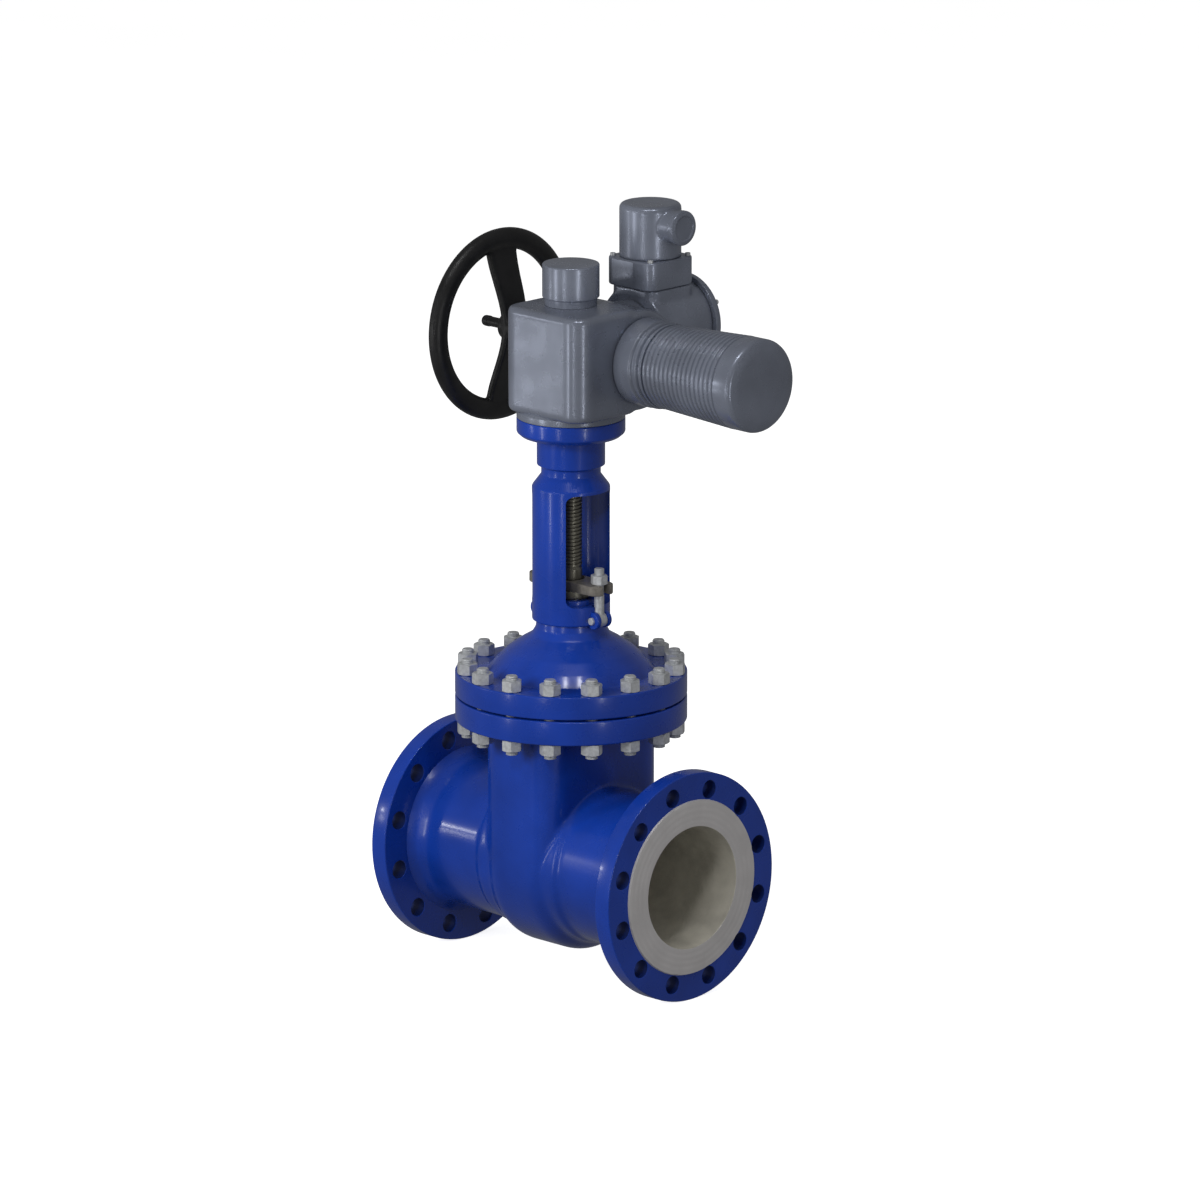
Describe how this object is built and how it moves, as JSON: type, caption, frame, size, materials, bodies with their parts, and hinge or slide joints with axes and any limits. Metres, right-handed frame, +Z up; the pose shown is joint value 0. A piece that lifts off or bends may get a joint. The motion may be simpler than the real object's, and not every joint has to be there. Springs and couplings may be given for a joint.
{
  "type": "motorized gate valve",
  "caption": "Flanged wedge gate valve with a bolted bonnet, tubular yoke and rising stem, driven by a worm gear actuator with a finned motor and a side handwheel.",
  "frame": {"origin": "middle of the base of the whole part's bounding box", "axes": "+X along the flow axis towards the motor end, +Z up along the stem, +Y towards the worm, motor and handwheel side"},
  "size_m": [0.649, 0.4348, 1.2485],
  "materials": {
    "blue_paint": "gloss",
    "grey_paint": "satin",
    "black_plastic": "satin",
    "bare_steel": "satin",
    "zinc_plated": "satin",
    "bronze": "satin",
    "graphite": "matte",
    "copper_winding": "satin",
    "moulded_resin": "matte"
  },
  "bodies": {
    "valve": {"valve_body": "blue_paint", "bonnet": "blue_paint", "yoke": "blue_paint", "gearbox_housing": "grey_paint", "stem_cover": "grey_paint", "motor_adapter": "grey_paint", "motor_housing": "grey_paint", "motor_end_cap": "grey_paint", "handwheel_side_cover": "grey_paint", "switch_housing": "grey_paint", "switch_cover": "grey_paint", "socket_frame": "grey_paint", "plug_cover": "grey_paint", "seat_ring_inlet": "bare_steel", "seat_ring_outlet": "bare_steel", "gland_follower": "bare_steel", "sleeve_bearing_lower": "bare_steel", "sleeve_bearing_upper": "bare_steel", "worm_bearing_handwheel_side": "bare_steel", "worm_bearing_motor_side": "bare_steel", "bonnet_stud_01": "zinc_plated", "bonnet_stud_02": "zinc_plated", "bonnet_stud_03": "zinc_plated", "bonnet_stud_04": "zinc_plated", "bonnet_stud_05": "zinc_plated", "bonnet_stud_06": "zinc_plated", "bonnet_stud_07": "zinc_plated", "bonnet_stud_08": "zinc_plated", "bonnet_stud_09": "zinc_plated", "bonnet_stud_10": "zinc_plated", "bonnet_stud_11": "zinc_plated", "bonnet_stud_12": "zinc_plated", "bonnet_stud_13": "zinc_plated", "bonnet_stud_14": "zinc_plated", "bonnet_stud_15": "zinc_plated", "bonnet_stud_16": "zinc_plated", "gland_flange": "zinc_plated", "eye_bolt_inlet_side": "zinc_plated", "eye_bolt_outlet_side": "zinc_plated", "eye_pin_inlet_side": "zinc_plated", "eye_pin_outlet_side": "zinc_plated", "gland_nut_inlet_side": "zinc_plated", "gland_nut_outlet_side": "zinc_plated", "backseat_bush": "bronze", "bonnet_gasket": "graphite", "gland_packing": "graphite", "motor_stator": "copper_winding", "limit_switch_block": "moulded_resin", "plug_insert": "moulded_resin", "cable_entry_plug": "moulded_resin"},
    "stem_and_wedge": {"stem": "bare_steel", "wedge": "bare_steel"},
    "drive_sleeve_set": {"drive_sleeve": "bare_steel", "stem_nut": "bronze", "worm_wheel": "bronze"},
    "worm_and_rotor": {"worm_shaft": "bare_steel", "motor_rotor": "bare_steel"},
    "handwheel_set": {"handwheel": "black_plastic", "handwheel_shaft": "bare_steel"},
    "manual_button_set": {"manual_button": "black_plastic"}
  },
  "joints": [
    {"name": "motor_spin", "type": "hinge", "parent": "valve", "child": "worm_and_rotor", "pos_m": [-0.0495, 0.0301, 1.0155], "axis": [1, 0, 0], "range_deg": [0, 299520]},
    {"name": "drive_sleeve_spin", "type": "hinge", "parent": "valve", "child": "drive_sleeve_set", "pos_m": [-0.0495, -0.0299, 1.0155], "axis": [0, 0, 1], "range_deg": [0, 12480.5]},
    {"name": "stem_lift", "type": "slide", "parent": "valve", "child": "stem_and_wedge", "axis": [0, 0, 1], "range_m": [0, 0.2085]},
    {"name": "handwheel_spin", "type": "hinge", "parent": "valve", "child": "handwheel_set", "pos_m": [-0.0495, 0.0301, 1.0255], "axis": [1, 0, 0], "continuous": true},
    {"name": "manual_button_press", "type": "slide", "parent": "handwheel_set", "child": "manual_button_set", "axis": [1, 0, 0], "range_m": [0, 0.008], "stiffness_N_per_m": 400}
  ],
  "couplings": [
    {"joint": "drive_sleeve_spin", "follows": "motor_spin", "ratio": 0.041667},
    {"joint": "stem_lift", "follows": "motor_spin", "m_per_rad": 0.000039789}
  ]
}
